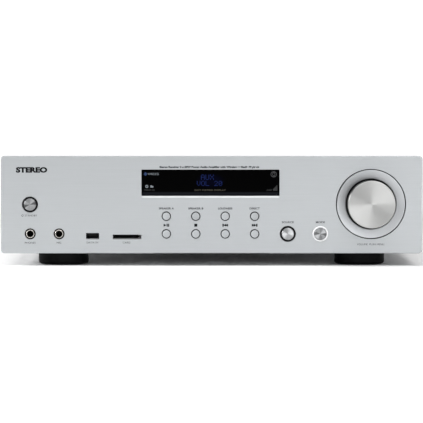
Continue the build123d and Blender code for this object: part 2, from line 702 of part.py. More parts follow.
def antenna_knuckle():
    """Swivelling nut of the antenna, with a fork and its cross pin."""
    x, z = ANTENNA_AT
    pivot = REAR + ANTENNA_PIVOT
    nut = rod_y(ANTENNA_AT, 4.8, *from_rear(2.0, 11.4))
    nut -= rod_y(ANTENNA_AT, 3.2, *from_rear(1, 9.0))
    for low in (-4.7, 2.7):
        ear = block((x - 4.2, x + 4.2), (REAR + 11.4, pivot), (z + low, z + low + 2))
        nut += ear + rod_z((x, pivot), 4.2, z + low, z + low + 2)
    return nut + rod_z((x, pivot), 1.4, z - 4.7, z + 4.7)


def antenna_rod():
    """Antenna rod, folded down to lie along the rear panel."""
    x, z = ANTENNA_AT
    pivot = REAR + ANTENNA_PIVOT
    tang = rod_z((x, pivot), 4.0, z - 2.5, z + 2.5)
    tang += block((x, x + 8), (pivot - 4, pivot + 4), (z - 2.5, z + 2.5))
    stem = revolve(
        make_face(
            Polyline((7, 0), (7, 4.6), (ANTENNA_LENGTH - 2, 3.7), (ANTENNA_LENGTH, 2.4),
                     (ANTENNA_LENGTH, 0), close=True)
        ),
        Axis.X,
    )
    return tang + Pos(x, pivot, z) * stem - rod_z((x, pivot), 1.5, z - 3, z + 3)


# ---------------------------------------------------------------- inside
def transformer():
    """Toroidal mains transformer between two rubber pads, with its secondary leads."""
    x, y = TRANSFORMER_AT
    z0 = FLOOR_Z + 1.5
    middle = (TRANSFORMER_R + TRANSFORMER_BORE) / 2
    section = RectangleRounded(TRANSFORMER_R - TRANSFORMER_BORE, TRANSFORMER_H, 9)
    ring = revolve(Rot(90, 0, 0) * (Pos(middle, 0) * section), Axis.Z)
    core = Pos(x, y, z0 + TRANSFORMER_H / 2) * ring
    pad = [(6, 0), (44, 0), (44, 1.5), (6, 1.5)]
    pads = [Pos(x, y, z) * turned_z((0, 0), pad) for z in (FLOOR_Z, z0 + TRANSFORMER_H)]
    leads = [transformer_lead(34.0 + 5 * i, i) for i in range(4)]
    return [core, *pads, *leads]


def transformer_lead(z, place):
    """One secondary lead, from the winding's side down to the main board."""
    x = TRANSFORMER_AT[0] + TRANSFORMER_R + 0.05
    y = TRANSFORMER_AT[1]
    end_y = FRONT + MAIN_BOARD_Y[0] + 16
    corner_x, end_x = -74.0, -60.0 + 5 * place
    path = FilletPolyline(
        (x, y, z), (corner_x, y, z), (corner_x, end_y, z), (end_x, end_y, z),
        (end_x, end_y, MAIN_BOARD_Z + BOARD_T),
        radius=4.0,
    )
    return sweep(Plane(path @ 0, z_dir=path % 0) * Circle(1.2), path)


def transformer_bolt():
    """Centre bolt with its dished washer and nut."""
    top = FLOOR_Z + 1.5 + TRANSFORMER_H + 1.5
    washer = turned_z((0, 0), [(3.1, top), (8, top), (12, top), (32, top), (32, top + 2), (3.1, top + 2)])
    bolt = rod_z((0, 0), 3.0, CASE_Z, top + 10)
    bolt += Pos(0, 0, CASE_Z - 3) * extrude(RegularPolygon(5.5, 6), 3)
    nut = Pos(0, 0, top + 2) * extrude(RegularPolygon(5.5, 6) - Circle(3.05), 5)
    x, y = TRANSFORMER_AT
    return [Pos(x, y, 0) * piece for piece in (washer, bolt, nut)]


def heatsink():
    """Extruded heatsink: a back plate with fins towards the front."""
    (x0, x1), (y0, y1) = HEATSINK_X, from_front(*HEATSINK_Y)
    outline = Pos((x0 + x1) / 2, y1 - 3) * Rectangle(x1 - x0, 6)
    fins = 17
    pitch = (x1 - x0 - 2) / (fins - 1)
    outline += [Pos(x0 + 1 + pitch * i, (y0 + y1 - 6) / 2) * Rectangle(2, y1 - y0 - 6) for i in range(fins)]
    return Pos(0, 0, FLOOR_Z) * extrude(outline, HEATSINK_TOP - FLOOR_Z)


def power_transistors():
    """Four output transistors on the back of the heatsink, each with three leads."""
    back = FRONT + HEATSINK_Y[1]
    found = []
    for x in spread(-42, 42, 4):
        body = block((x - 8, x + 8), (back, back + 5), (46, 66))
        for dx in (-5.4, 0, 5.4):
            lead = (x + dx - 0.6, x + dx + 0.6)
            body += block(lead, (back + 2, back + 2.8), (MAIN_BOARD_Z + BOARD_T, 46))
        found.append(body)
    return found


def main_board():
    """Main circuit board on the pan's pillars."""
    return block(MAIN_BOARD_X, from_front(*MAIN_BOARD_Y), (MAIN_BOARD_Z, MAIN_BOARD_Z + BOARD_T))


def reservoir_capacitors():
    """Four smoothing capacitors with a rolled rim."""
    base = MAIN_BOARD_Z + BOARD_T
    points = [(0, 0), (13.6, 0), (14, 0.4), (14, 41), (13, 42), (11.5, 42), (11.5, 41.4), (0, 41.4)]
    y = FRONT + MAIN_BOARD_Y[0] + 26
    return [turned_z((x, y), [(r, base + z) for r, z in points]) for x in spread(84, 31, 4)]


def ribbon_cable():
    """Flat cable from the control board to the main board, lying on the pan."""
    y0 = FRONT + BOARD_Y + BOARD_T
    y1 = FRONT + MAIN_BOARD_Y[0] + 5
    low, board = FLOOR_Z + 1, MAIN_BOARD_Z + BOARD_T
    path = FilletPolyline(
        (0, y0, 40), (0, y0 + 9, 40), (0, y0 + 9, low), (0, y1 - 12, low), (0, y1 - 12, board + 12),
        (0, y1, board + 12), (0, y1, board),
        radius=4.0,
    )
    strip = sweep(Plane(path @ 0, x_dir=(1, 0, 0), z_dir=path % 0) * Rectangle(25, 1.0), path)
    return Pos(125, 0, 0) * strip


# ---------------------------------------------------------------- export
def sub_parts():
    """Every node's name and its solids."""
    made = {
        "front_panel": front_panel(),
        "front_frame": front_frame(),
        "bottom_chassis": bottom_chassis(),
        "rear_panel": rear_panel(),
        "top_cover": top_cover(),
        "feet": feet(),
        "foot_pads": foot_pads(),
        "case_screws": case_screws(),
        "display_window": display_window(),
        "display_module": display_module(),
        "volume_dish": volume_dish(),
        "volume_knob": volume_knob(),
        "volume_shaft": volume_shaft(),
        "volume_encoder": volume_encoder(),
        "volume_plunger": volume_plunger(),
        "button_rings": [button_ring(at) for at in (STANDBY_AT, SOURCE_AT)],
        "mode_ring": button_ring(MODE_AT),
        "tact_switches": tact_switches(),
        "control_board": control_board(),
        "jack_sockets": [jack_body(at) for at in (PHONES_AT, MIC_AT)],
        "jack_bushes": [jack_bush(at) for at in (PHONES_AT, MIC_AT)],
        "usb_socket": usb_socket(),
        "card_slot": card_slot(),
        "socket_board": socket_board(),
        "rca_block": rca_block(),
        "rca_sleeves": rca_sleeves(),
        "terminal_block": terminal_block(),
        "binding_posts": binding_posts(),
        "mains_inlet": mains_inlet(),
        "switch_housing": switch_housing(),
        "power_rocker": power_rocker(),
        "antenna_jack": antenna_jack(),
        "antenna_knuckle": antenna_knuckle(),
        "antenna_rod": antenna_rod(),
        "transformer": transformer(),
        "transformer_bolt": transformer_bolt(),
        "heatsink": heatsink(),
        "power_transistors": power_transistors(),
        "main_board": main_board(),
        "reservoir_capacitors": reservoir_capacitors(),
        "ribbon_cable": ribbon_cable(),
    }
    made |= {f"button_{name}": small_button(at) for name, at in small_buttons()}
    made |= {f"{name}_button": big_button(at) for name, at in big_buttons()}
    made |= {f"cap_{name}": post_cap(at) for name, at in posts()}
    return made


os.makedirs("parts", exist_ok=True)
for node, shape in sub_parts().items():
    pieces = shape if isinstance(shape, list) else [shape]
    solids = [solid for piece in pieces for solid in piece.solids()]
    export_step(Compound(children=solids), f"parts/{node}.step")
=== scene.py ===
"""Looks of a stereo receiver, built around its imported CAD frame."""

import json
import math

import bmesh
import bpy
from mathutils import Matrix, Vector


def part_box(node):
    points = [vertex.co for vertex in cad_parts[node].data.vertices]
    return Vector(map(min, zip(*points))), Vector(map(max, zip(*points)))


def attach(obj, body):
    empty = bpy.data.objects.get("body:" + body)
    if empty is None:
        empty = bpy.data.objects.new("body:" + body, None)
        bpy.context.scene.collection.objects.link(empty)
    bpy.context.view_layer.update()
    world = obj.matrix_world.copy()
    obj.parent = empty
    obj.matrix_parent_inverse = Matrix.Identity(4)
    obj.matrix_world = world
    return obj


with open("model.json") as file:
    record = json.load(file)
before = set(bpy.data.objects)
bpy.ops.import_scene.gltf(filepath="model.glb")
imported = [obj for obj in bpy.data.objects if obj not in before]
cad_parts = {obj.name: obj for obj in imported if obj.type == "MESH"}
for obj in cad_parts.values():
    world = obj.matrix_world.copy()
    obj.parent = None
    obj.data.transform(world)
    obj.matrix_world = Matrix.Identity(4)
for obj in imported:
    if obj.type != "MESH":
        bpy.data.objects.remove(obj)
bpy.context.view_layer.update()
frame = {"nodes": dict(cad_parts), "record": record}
nodes = frame["nodes"]
UNIT = "unit"

MM = 0.001
PANEL_LOW, PANEL_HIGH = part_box("front_panel")
WINDOW_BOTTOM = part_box("display_window")[0][2]
FRONT = PANEL_LOW[1]
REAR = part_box("rear_panel")[1][1]


# ---------------------------------------------------------------- node helpers
class Nodes:
    """Shader nodes under construction in one tree."""

    def __init__(self, tree):
        self.tree = tree

    def node(self, kind, inputs=None, **settings):
        """A new node. An input given as a socket is linked, any other is set."""
        made = self.tree.nodes.new(kind)
        for key, value in settings.items():
            setattr(made, key, value)
        for key, value in (inputs or {}).items():
            if isinstance(value, bpy.types.NodeSocket):
                self.tree.links.new(value, made.inputs[key])
            else:
                made.inputs[key].default_value = value
        return made

    def calc(self, operation, *values):
        inputs = dict(enumerate(values))
        return self.node("ShaderNodeMath", inputs, operation=operation).outputs[0]

    def vector(self, operation, *values):
        inputs = dict(enumerate(values))
        return self.node("ShaderNodeVectorMath", inputs, operation=operation).outputs[0]

    def length(self, vector):
        made = self.node("ShaderNodeVectorMath", {0: vector}, operation="LENGTH")
        return made.outputs["Value"]

    def split(self, vector):
        """The X, Y and Z of a vector."""
        return self.node("ShaderNodeSeparateXYZ", {0: vector}).outputs

    def ramp(self, value, start, end, curve="SMOOTHSTEP"):
        """0 at the start and 1 at the end, which may be the lower of the two."""
        inputs = {"Value": value, "From Min": start, "From Max": end}
        return self.node("ShaderNodeMapRange", inputs, interpolation_type=curve).outputs[0]

    def within(self, value, low, high, soft):
        """Two factors, whose product is 1 between the limits but for a soft edge inside each."""
        return [self.ramp(value, low, low + soft), self.ramp(value, high, high - soft)]

    def product(self, values):
        result = values[0]
        for value in values[1:]:
            result = self.calc("MULTIPLY", result, value)
        return result


class Surface(Nodes):
    """A material under construction: a Principled shader and the nodes that feed it."""

    def __init__(self, name, color, metallic=0.0, rough=0.5, **sockets):
        self.material = bpy.data.materials.new(name)
        self.material.use_nodes = True
        super().__init__(self.material.node_tree)
        self.shader = self.tree.nodes["Principled BSDF"]
        self.color = (*color, 1.0)
        self.rough = rough
        self.shader.inputs["Base Color"].default_value = self.color
        self.shader.inputs["Metallic"].default_value = metallic
        self.shader.inputs["Roughness"].default_value = rough
        for socket, value in sockets.items():
            self.shader.inputs[socket.replace("_", " ")].default_value = value
        self.material.diffuse_color = self.color

    def link(self, output, socket):
        self.tree.links.new(output, self.shader.inputs[socket])

    def coords(self, scale=1):
        """Object coordinates in metres, times one scale or one for each axis."""
        scales = scale if isinstance(scale, tuple) else (scale,) * 3
        source = self.node("ShaderNodeTexCoord").outputs["Object"]
        return self.node("ShaderNodeMapping", {"Vector": source, "Scale": scales}).outputs[0]

    def from_middle(self, name):
        """Object coordinates from the middle of a CAD node's box."""
        low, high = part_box(name)
        return self.vector("SUBTRACT", self.coords(), (low + high) / 2)

    def across(self, place):
        """The distance from the middle, as seen along Y."""
        return self.length(self.vector("MULTIPLY", place, (1, 0, 1)))

    def facing(self, axis):
        """The share of the surface normal along X, Y or Z, as axis 0, 1 or 2."""
        return self.split(self.node("ShaderNodeTexCoord").outputs["Normal"])[axis]

    def noise(self, scale, detail=3.0):
        """Noise in features per metre, with one scale or one for each axis."""
        inputs = {"Vector": self.coords(scale), "Scale": 1.0, "Detail": detail}
        return self.node("ShaderNodeTexNoise", inputs).outputs["Fac"]

    def rings(self, scale):
        """Noise that depends only on the distance from the middle of the piece's face."""
        source = self.node("ShaderNodeTexCoord").outputs["Generated"]
        distance = self.across(self.vector("SUBTRACT", source, (0.5, 0.5, 0.5)))
        inputs = {"W": distance, "Scale": scale, "Detail": 3.0}
        return self.node("ShaderNodeTexNoise", inputs, noise_dimensions="1D").outputs["Fac"]

    def spread(self, value, low, high):
        """Noise, which lies mostly between 0.3 and 0.7, spread over a range."""
        inputs = {"Value": value, "From Min": 0.3, "From Max": 0.7, "To Min": low, "To Max": high}
        return self.node("ShaderNodeMapRange", inputs).outputs[0]

    def mix(self, factor, low, high, socket="Base Color"):
        """Feeds a socket with a mix of two colours, of which either may be an output."""
        made = self.node("ShaderNodeMix", {0: factor, 6: low, 7: high}, data_type="RGBA")
        self.link(made.outputs[2], socket)
        return self

    def tint(self, value, amount):
        """Varies the colour either way by a share of itself."""
        low = [c * (1 - amount) for c in self.color[:3]] + [1]
        high = [min(c * (1 + amount), 1) for c in self.color[:3]] + [1]
        return self.mix(self.spread(value, 0.0, 1.0), low, high)

    def base(self):
        """The output that feeds the colour so far."""
        return self.shader.inputs["Base Color"].links[0].from_socket

    def darken(self, value, keep):
        """Keeps a share of the colour where the value is 1."""
        before = self.base()
        inputs = {"Value": value, "To Min": 1.0, "To Max": keep}
        share = self.node("ShaderNodeMapRange", inputs).outputs[0]
        inputs = {0: before, "Scale": share}
        scaled = self.node("ShaderNodeVectorMath", inputs, operation="SCALE")
        self.link(scaled.outputs[0], "Base Color")
        return self

    def blend_to(self, value, color):
        """Another colour where the value is 1."""
        return self.mix(value, self.base(), (*color, 1))

    def roughen(self, value, amount):
        """Varies the roughness either way."""
        smoothest = 0.02
        low = max(self.rough - amount, smoothest)
        self.link(self.spread(value, low, self.rough + amount), "Roughness")
        return self

    def bump(self, value, depth, strength=1.0):
        """Bumps as deep as the real ones, in millimetres."""
        inputs = {"Height": value, "Distance": depth * MM, "Strength": strength}
        self.link(self.node("ShaderNodeBump", inputs).outputs[0], "Normal")
        return self

    def spun(self, amount):
        """Circular turning marks: the gloss spreads outwards from the middle."""
        tangent = self.node("ShaderNodeTangent", direction_type="RADIAL", axis="Y")
        self.link(tangent.outputs[0], "Tangent")
        self.shader.inputs["Anisotropic"].default_value = amount
        self.shader.inputs["Anisotropic Rotation"].default_value = 0.25
        return self

    def brushed_along_x(self, amount):
        """Straight brushing along X: the gloss spreads up and down."""
        up = self.node("ShaderNodeCombineXYZ", {"X": 0.0, "Y": 0.0, "Z": 1.0})
        self.link(up.outputs[0], "Tangent")
        self.shader.inputs["Anisotropic"].default_value = amount
        return self


# ---------------------------------------------------------------- materials
BLACK = (0, 0, 0, 1)
SATIN = (0.478, 0.497, 0.511)
BRUSHING = 0.6
TURNED_BUTTON = (0.43, 0.44, 0.45)


def dimmed(color, share):
    return tuple(share * c for c in color)


def satin_metal(name, share, tint, gloss, depth):
    """Anodised aluminium with fine brushing along X."""
    s = Surface(name, dimmed(SATIN, share), 1.0, 0.46)
    fine = s.noise((30, 30, 3200), 4.0)
    return s.tint(fine, tint).roughen(fine, gloss).bump(fine, depth, 0.3)


def panel_aluminium():
    """The front plate: a painted highlight on its window sill, and painted shade on its slot
    bevels, on the walls of its holes towards the back and round its small buttons.
    """
    s = satin_metal("panel_aluminium", 1.0, 0.035, 0.04, 0.003)
    x, y, z = s.split(s.coords())
    upward = s.ramp(s.facing(2), 0.5, 0.6)

    # Painted highlight: the up-facing bevel of the window sill is lightened.
    sill_reach = 5 * MM
    sill = s.within(z, WINDOW_BOTTOM - sill_reach, WINDOW_BOTTOM + sill_reach, 1 * MM)
    s.blend_to(s.product([upward, *sill]), (0.68, 0.70, 0.71))
    # Painted shade: the up-facing bevels under the slots are darkened.
    painted_bevel_shade = [upward, s.ramp(z, 40 * MM, 36 * MM)]
    s.blend_to(s.product(painted_bevel_shade), (0.27, 0.275, 0.28))

    # Painted shade: the walls of the holes, deeper than 1.7 mm and short of the back face, are
    # darkened.
    back = PANEL_HIGH[1]
    inside = [s.ramp(y, FRONT + 1.7 * MM, FRONT + 2.4 * MM)]
    inside.append(s.ramp(y, back - 0.05 * MM, back - 0.2 * MM))
    edge = 0.5 * MM
    for axis, value in ((0, x), (2, z)):
        inside += s.within(value, PANEL_LOW[axis] + edge, PANEL_HIGH[axis] - edge, 0.3 * MM)
    s.darken(s.product(inside), 0.12)

    # Painted shade: faces behind the front face round the small buttons are darkened, so their
    # gaps look darker.
    painted_gap_shade = [s.ramp(y, FRONT + 0.1 * MM, FRONT + 0.25 * MM)]
    painted_gap_shade += s.within(x, -60 * MM, 60 * MM, 1 * MM)
    painted_gap_shade.append(s.ramp(z, WINDOW_BOTTOM - 6 * MM, WINDOW_BOTTOM - 7 * MM))
    s.darken(s.product(painted_gap_shade), 0.04)
    return s.brushed_along_x(BRUSHING)


def spun_metal(name, color, rough, amount, ring_scale, depth=0.004):
    """Metal turned on a lathe."""
    s = Surface(name, color, 1.0, rough)
    ring = s.rings(ring_scale)
    return s.tint(ring, 0.08).roughen(ring, 0.04).bump(ring, depth, 0.5).spun(amount)


def dish_aluminium():
    """Turned dish, with painted reflection that leaves it lighter at its bottom, and painted
    shade in its well and its outer groove.
    """
    s = spun_metal("dish_aluminium", (0.68, 0.70, 0.72), 0.42, 0.7, 260)
    place = s.from_middle("volume_dish")
    # Painted reflection: the dish is darkened above, so that it is lighter towards its bottom.
    s.darken(s.ramp(s.split(place)[2], -30 * MM, -4 * MM), 0.78)
    radius = s.across(place)
    # Painted shade: darkened at the edge of the well round the knob and at the outer groove.
    well = s.ramp(radius, 25.85 * MM, 25.7 * MM)
    groove = s.ramp(radius, 34.75 * MM, 34.85 * MM)
    return s.darken(s.calc("MAXIMUM", well, groove), 0.06)


def knob_aluminium():
    """Turned face and bevel, and painted shade on its side."""
    s = spun_metal("knob_aluminium", (0.51, 0.513, 0.507), 0.44, 0.95, 220)
    # Painted shade: faces that turn sideways are darkened.
    return s.darken(s.ramp(s.facing(1), -0.45, -0.30), 0.15)


def satin_button(name, share):
    """A small button: an even satin face, brushed like the panel, and painted shade on its side.
    """
    s = satin_metal(name, share, 0.03, 0.03, 0.002)
    # Painted shade: faces that turn away from the front are darkened.
    return s.darken(s.ramp(s.facing(1), -0.985, -0.93), 0.05).brushed_along_x(BRUSHING)


def streaked_button(name, node, share, painted_reflection_streaks):
    """A turned button face with painted reflection in darker spokes: (degrees, half width, share
    kept).
    """
    s = spun_metal(name, dimmed(TURNED_BUTTON, share), 0.32, 1.0, 60, 0.003)
    x, _, z = s.split(s.from_middle(node))
    angle = s.calc("ARCTAN2", z, x)
    # Painted reflection: spokes of the face are darkened to stand for its reflection.
    for degrees, half, keep in painted_reflection_streaks:
        wave = s.calc("COSINE", s.calc("SUBTRACT", angle, math.radians(degrees)))
        s.darken(s.ramp(wave, math.cos(math.radians(half)), 1.0), keep)
    return s


def moulded(name, color, rough=0.55, grain=2500, depth=0.012, coat=0.0, specular=0.5):
    """Plastic with a fine spark-eroded grain and a little unevenness."""
    s = Surface(name, color, 0.0, rough, Coat_Weight=coat, Specular_IOR_Level=specular)
    s.tint(s.noise(60, 2.0), 0.12)
    fine = s.noise(grain, 2.0)
    return s.roughen(fine, 0.06).bump(fine, depth, 0.6)


def polished(name, color, rough):
    """Plated metal with faint turning marks and handling haze."""
    s = Surface(name, color, 1.0, rough)
    haze = s.noise(140)
    s.tint(haze, 0.06).roughen(haze, 0.05)
    return s.bump(s.noise((900, 4000, 900), 2.0), 0.002, 0.4)


def jack_nickel():
    """Nickel bushes with painted shade in their bores, dark from the lip inwards."""
    s = polished("jack_nickel", (0.47, 0.45, 0.42), 0.25)
    low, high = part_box("jack_bushes")
    bush_radius = (high[2] - low[2]) / 2
    half_spacing = (high[0] - low[0]) / 2 - bush_radius
    x, _, z = s.split(s.from_middle("jack_bushes"))
    from_bush = s.calc("SUBTRACT", s.calc("ABSOLUTE", x), half_spacing)
    radius = s.length(s.node("ShaderNodeCombineXYZ", {0: from_bush, 1: z}).outputs[0])
    # Painted shade: darkened inside the lip of each bore.
    return s.darken(s.ramp(radius, 3.65 * MM, 3.45 * MM), 0.05)


def card_slot_plastic():
    """Black inside the slot, with the bare metal of the card contact at its right end."""
    s = moulded("card_slot_plastic", (0.01, 0.01, 0.01), 0.5)
    contact_start, contact_full = -75.4 * MM, -74.7 * MM
    x = s.split(s.coords())[0]
    return s.blend_to(s.ramp(x, contact_start, contact_full), (0.8, 0.8, 0.81))


def painted(name, color, rough=0.5):
    """Powder-coated steel: a soft fine orange peel."""
    s = Surface(name, color, 0.0, rough, Specular_IOR_Level=0.4)
    peel = s.noise(1400)
    return s.tint(s.noise(18, 2.0), 0.03).roughen(peel, 0.07).bump(peel, 0.02, 0.7)


def galvanised(name, color, rough=0.42):
    """Zinc-plated sheet with soft crystal patches and rolling lines."""
    s = Surface(name, color, 1.0, rough)
    cells = s.node("ShaderNodeTexVoronoi", {"Vector": s.coords(120), "Scale": 1.0})
    s.tint(cells.outputs["Distance"], 0.10).roughen(s.noise((40, 900, 900), 2.0), 0.06)
    return s.bump(s.noise((12, 1500, 1500), 2.0), 0.004, 0.5)


def window_acrylic():
    """Smoked acrylic: a paler strip along its foot, and a faint glow round the display's dots."""
    s = Surface("window_acrylic", (0.0008, 0.0008, 0.0009), 0.0, 0.08, Specular_IOR_Level=0.012)
    s.roughen(s.noise(90), 0.02)
    strip_top, soft = WINDOW_BOTTOM + 6.65 * MM, 0.25 * MM
    strip = s.ramp(s.split(s.coords())[2], strip_top + soft, strip_top - soft)
    s.mix(strip, s.color, (0.0075, 0.0085, 0.0105, 1))
    glow_middle, glow_sharpness = (-0.001, 0.0, 0.0868), (56, 0, 105)
    from_glow = s.vector("SUBTRACT", s.coords(), glow_middle)
    reach = s.length(s.vector("MULTIPLY", from_glow, glow_sharpness))
    glow = s.ramp(reach, 1.0, 0.25, "SMOOTHERSTEP")
    s.mix(glow, BLACK, (0.0006, 0.0009, 0.007, 1), "Emission Color")
    s.shader.inputs["Emission Strength"].default_value = 1.0
    return s


def board_laminate():
    """Green circuit board with the weave of its glass cloth."""
    s = Surface("board", (0.015, 0.10, 0.045), 0.0, 0.35, Coat_Weight=0.4)
    weave = s.node("ShaderNodeTexBrick", {"Vector": s.coords(420), "Scale": 1.0})
    return s.tint(s.noise(300, 2.0), 0.25).bump(weave.outputs["Fac"], 0.01, 0.4)


def taped_winding():
    """Overlapping turns of tape round the ring: bands that run out from its middle."""
    s = Surface("transformer_tape", (0.50, 0.36, 0.06), 0.0, 0.32, Coat_Weight=0.3)
    turns_of_tape = 34
    x, y, _ = s.split(s.from_middle("transformer_bolt"))
    turns = s.calc("MULTIPLY", s.calc("ARCTAN2", y, x), turns_of_tape / (2 * math.pi))
    band = s.calc("FRACT", turns)
    return s.tint(band, 0.22).bump(band, 0.25, 1.0)


def lit(name, color):
    """Ink for the display's marks, which glows with a slight grain."""
    s = Surface(name, (0.004, 0.004, 0.004), 0.0, 0.4, Specular_IOR_Level=0.05)
    s.shader.inputs["Emission Strength"].default_value = 1.0
    grain = s.spread(s.noise(2200, 1.0), 0.86, 1.0)
    return s.mix(grain, BLACK, (*color, 1), "Emission Color").material


def ink(name, color, rough=0.6):
    """Screen-printed ink, slightly uneven."""
    s = Surface(name, color, 0.0, rough, Specular_IOR_Level=0.12)
    return s.tint(s.noise(1500, 2.0), 0.12).roughen(s.noise(3000, 1.0), 0.05).material


surfaces = {
    "panel_aluminium": panel_aluminium(),
    "dish_aluminium": dish_aluminium(),
    "knob_aluminium": knob_aluminium(),
    "button_aluminium": satin_button("button_aluminium", 0.97),
    "shaft_steel": polished("shaft_steel", (0.5, 0.5, 0.5), 0.3),
    "plunger_plastic": moulded("plunger_plastic", (0.72, 0.70, 0.64)),
    "encoder_metal": galvanised("encoder_metal", (0.6, 0.6, 0.58)),
    "frame_plastic": moulded("frame_plastic", (0.02, 0.02, 0.02), 0.6),
    "pan_steel": galvanised("pan_steel", (0.72, 0.73, 0.74)),
    "rear_paint": painted("rear_paint", (0.022, 0.022, 0.024), 0.55),
    "cover_paint": painted("cover_paint", (0.27, 0.275, 0.28), 0.42),
    "foot_plastic": moulded("foot_plastic", (0.002, 0.002, 0.0025), 0.6, 1800, 0.006,
                            specular=0.09),
    "foot_rubber": moulded("foot_rubber", (0.015, 0.015, 0.015), 0.85, 1200, 0.03),
    "screw_steel": polished("screw_steel", (0.42, 0.42, 0.43), 0.3),
    "window_acrylic": window_acrylic(),
    "display_plastic": moulded("display_plastic", (0.01, 0.012, 0.016), 0.12, 1500, 0.002, 0.5),
    "ring_black": moulded("ring_black", (0.004, 0.004, 0.005), 0.3, 1500, 0.002, specular=0.15),
    "ring_white": moulded("ring_white", (0.93, 0.95, 0.98), 0.25, 1500, 0.002, 0.3),
    "switch_plastic": moulded("switch_plastic", (0.03, 0.03, 0.03), 0.5),
    "board": board_laminate(),
    "socket_plastic": moulded("socket_plastic", (0.004, 0.004, 0.004), 0.5, specular=0.2),
    "nickel": polished("nickel", (0.36, 0.345, 0.32), 0.25),
    "socket_steel": galvanised("socket_steel", (0.015, 0.015, 0.015), 0.4),
    "card_plastic": moulded("card_plastic", (0.01, 0.01, 0.01), 0.5),
    "gold": polished("gold", (0.86, 0.60, 0.24), 0.18),
    "terminal_plastic": moulded("terminal_plastic", (0.012, 0.012, 0.012), 0.45),
    "inlet_plastic": moulded("inlet_plastic", (0.012, 0.012, 0.012), 0.4),
    "rocker_plastic": moulded("rocker_plastic", (0.012, 0.012, 0.012), 0.3, 1500, 0.004),
    "antenna_plastic": moulded("antenna_plastic", (0.014, 0.014, 0.014), 0.5, 1800, 0.02),
    "transformer_tape": taped_winding(),
    "heatsink_aluminium": galvanised("heatsink_aluminium", (0.06, 0.06, 0.062), 0.5),
    "device_plastic": moulded("device_plastic", (0.02, 0.02, 0.02), 0.5),
    "capacitor_sleeve": moulded("capacitor_sleeve", (0.01, 0.018, 0.06), 0.25, 800, 0.004, 0.3),
    "ribbon_plastic": moulded("ribbon_plastic", (0.55, 0.55, 0.53), 0.5),
    "cap_red": moulded("cap_red", (0.42, 0.008, 0.008), 0.22, 1500, 0.004, 0.3),
    "cap_black": moulded("cap_black", (0.012, 0.012, 0.012), 0.22, 1500, 0.004, 0.3),
}
ink_dark = ink("ink_dark", (0.03, 0.031, 0.035))
ink_black = ink("ink_black", (0.006, 0.006, 0.007))
ink_white = ink("ink_white", (0.75, 0.75, 0.74))
ink_red = ink("ink_red", (0.55, 0.02, 0.02), 0.4)
print_white = lit("print_white", (0.27, 0.30, 0.33))
print_blue = lit("print_blue", (0.08, 0.14, 0.34))
print_grey = lit("print_grey", (0.065, 0.066, 0.068))
print_tan = lit("print_tan", (0.11, 0.10, 0.075))
dot_blue = lit("dot_blue", (0.006, 0.017, 0.115))

# These nodes look different from the others of their material slot: painted shade in the jack
# bores, dimmed copies of the button metals as painted shade, and painted reflection streaks on
# the turned buttons.
own_surfaces = {
    "jack_bushes": jack_nickel(),
    "card_slot": card_slot_plastic(),
    "button_speaker_b": satin_button("speaker_b_aluminium", 0.88),
    "button_direct": satin_button("direct_aluminium", 0.89),
    "standby_button": streaked_button("standby_aluminium", "standby_button", 0.78, (
        (17, 26, 0.25), (197, 24, 0.25), (110, 40, 0.75), (250, 30, 0.8))),
    "source_button": streaked_button("source_aluminium", "source_button", 1.0, (
        (120, 35, 0.75), (250, 35, 0.75))),
    "mode_button": streaked_button("mode_aluminium", "mode_button", 0.85, (
        (355, 24, 0.25), (175, 26, 0.25), (80, 30, 0.6), (270, 35, 0.6))),
}

for entry in frame["record"]["subparts"]:
    target = nodes[entry["node"]]
    surface = own_surfaces.get(entry["node"], surfaces[entry["material_slot"]])
    if not target.material_slots:
        target.data.materials.append(None)
    for place in target.material_slots:
        place.material = surface.material


# ---------------------------------------------------------------- thin printed shapes
def font_mesh(words, thickness, scale, weight=0.0):
    """The built-in font's letters as a closed mesh, with extra weight."""
    curve = bpy.data.curves.new("words", "FONT")
    curve.body = words
    curve.resolution_u = 4
    curve.align_x = "CENTER"
    curve.extrude = thickness / 2 / scale
    curve.offset = weight
    holder = bpy.data.objects.new("words", curve)
    bpy.context.scene.collection.objects.link(holder)
    bpy.context.view_layer.update()
    depsgraph = bpy.context.evaluated_depsgraph_get()
    mesh = bpy.data.meshes.new_from_object(holder.evaluated_get(depsgraph))
    bpy.data.objects.remove(holder)
    mesh.transform(Matrix.Diagonal((scale, scale, scale, 1)))
    return mesh


def extent(mesh, axis):
    """The least and the greatest coordinate of a mesh along an axis."""
    places = [v.co[axis] for v in mesh.vertices]
    return min(places), max(places)


capital_low, capital_high = extent(font_mesh("H", 0.0, 1.0), 1)
CAPITAL_HEIGHT = capital_high - capital_low
WELD = 1e-7  # vertices closer than this, in metres, become one


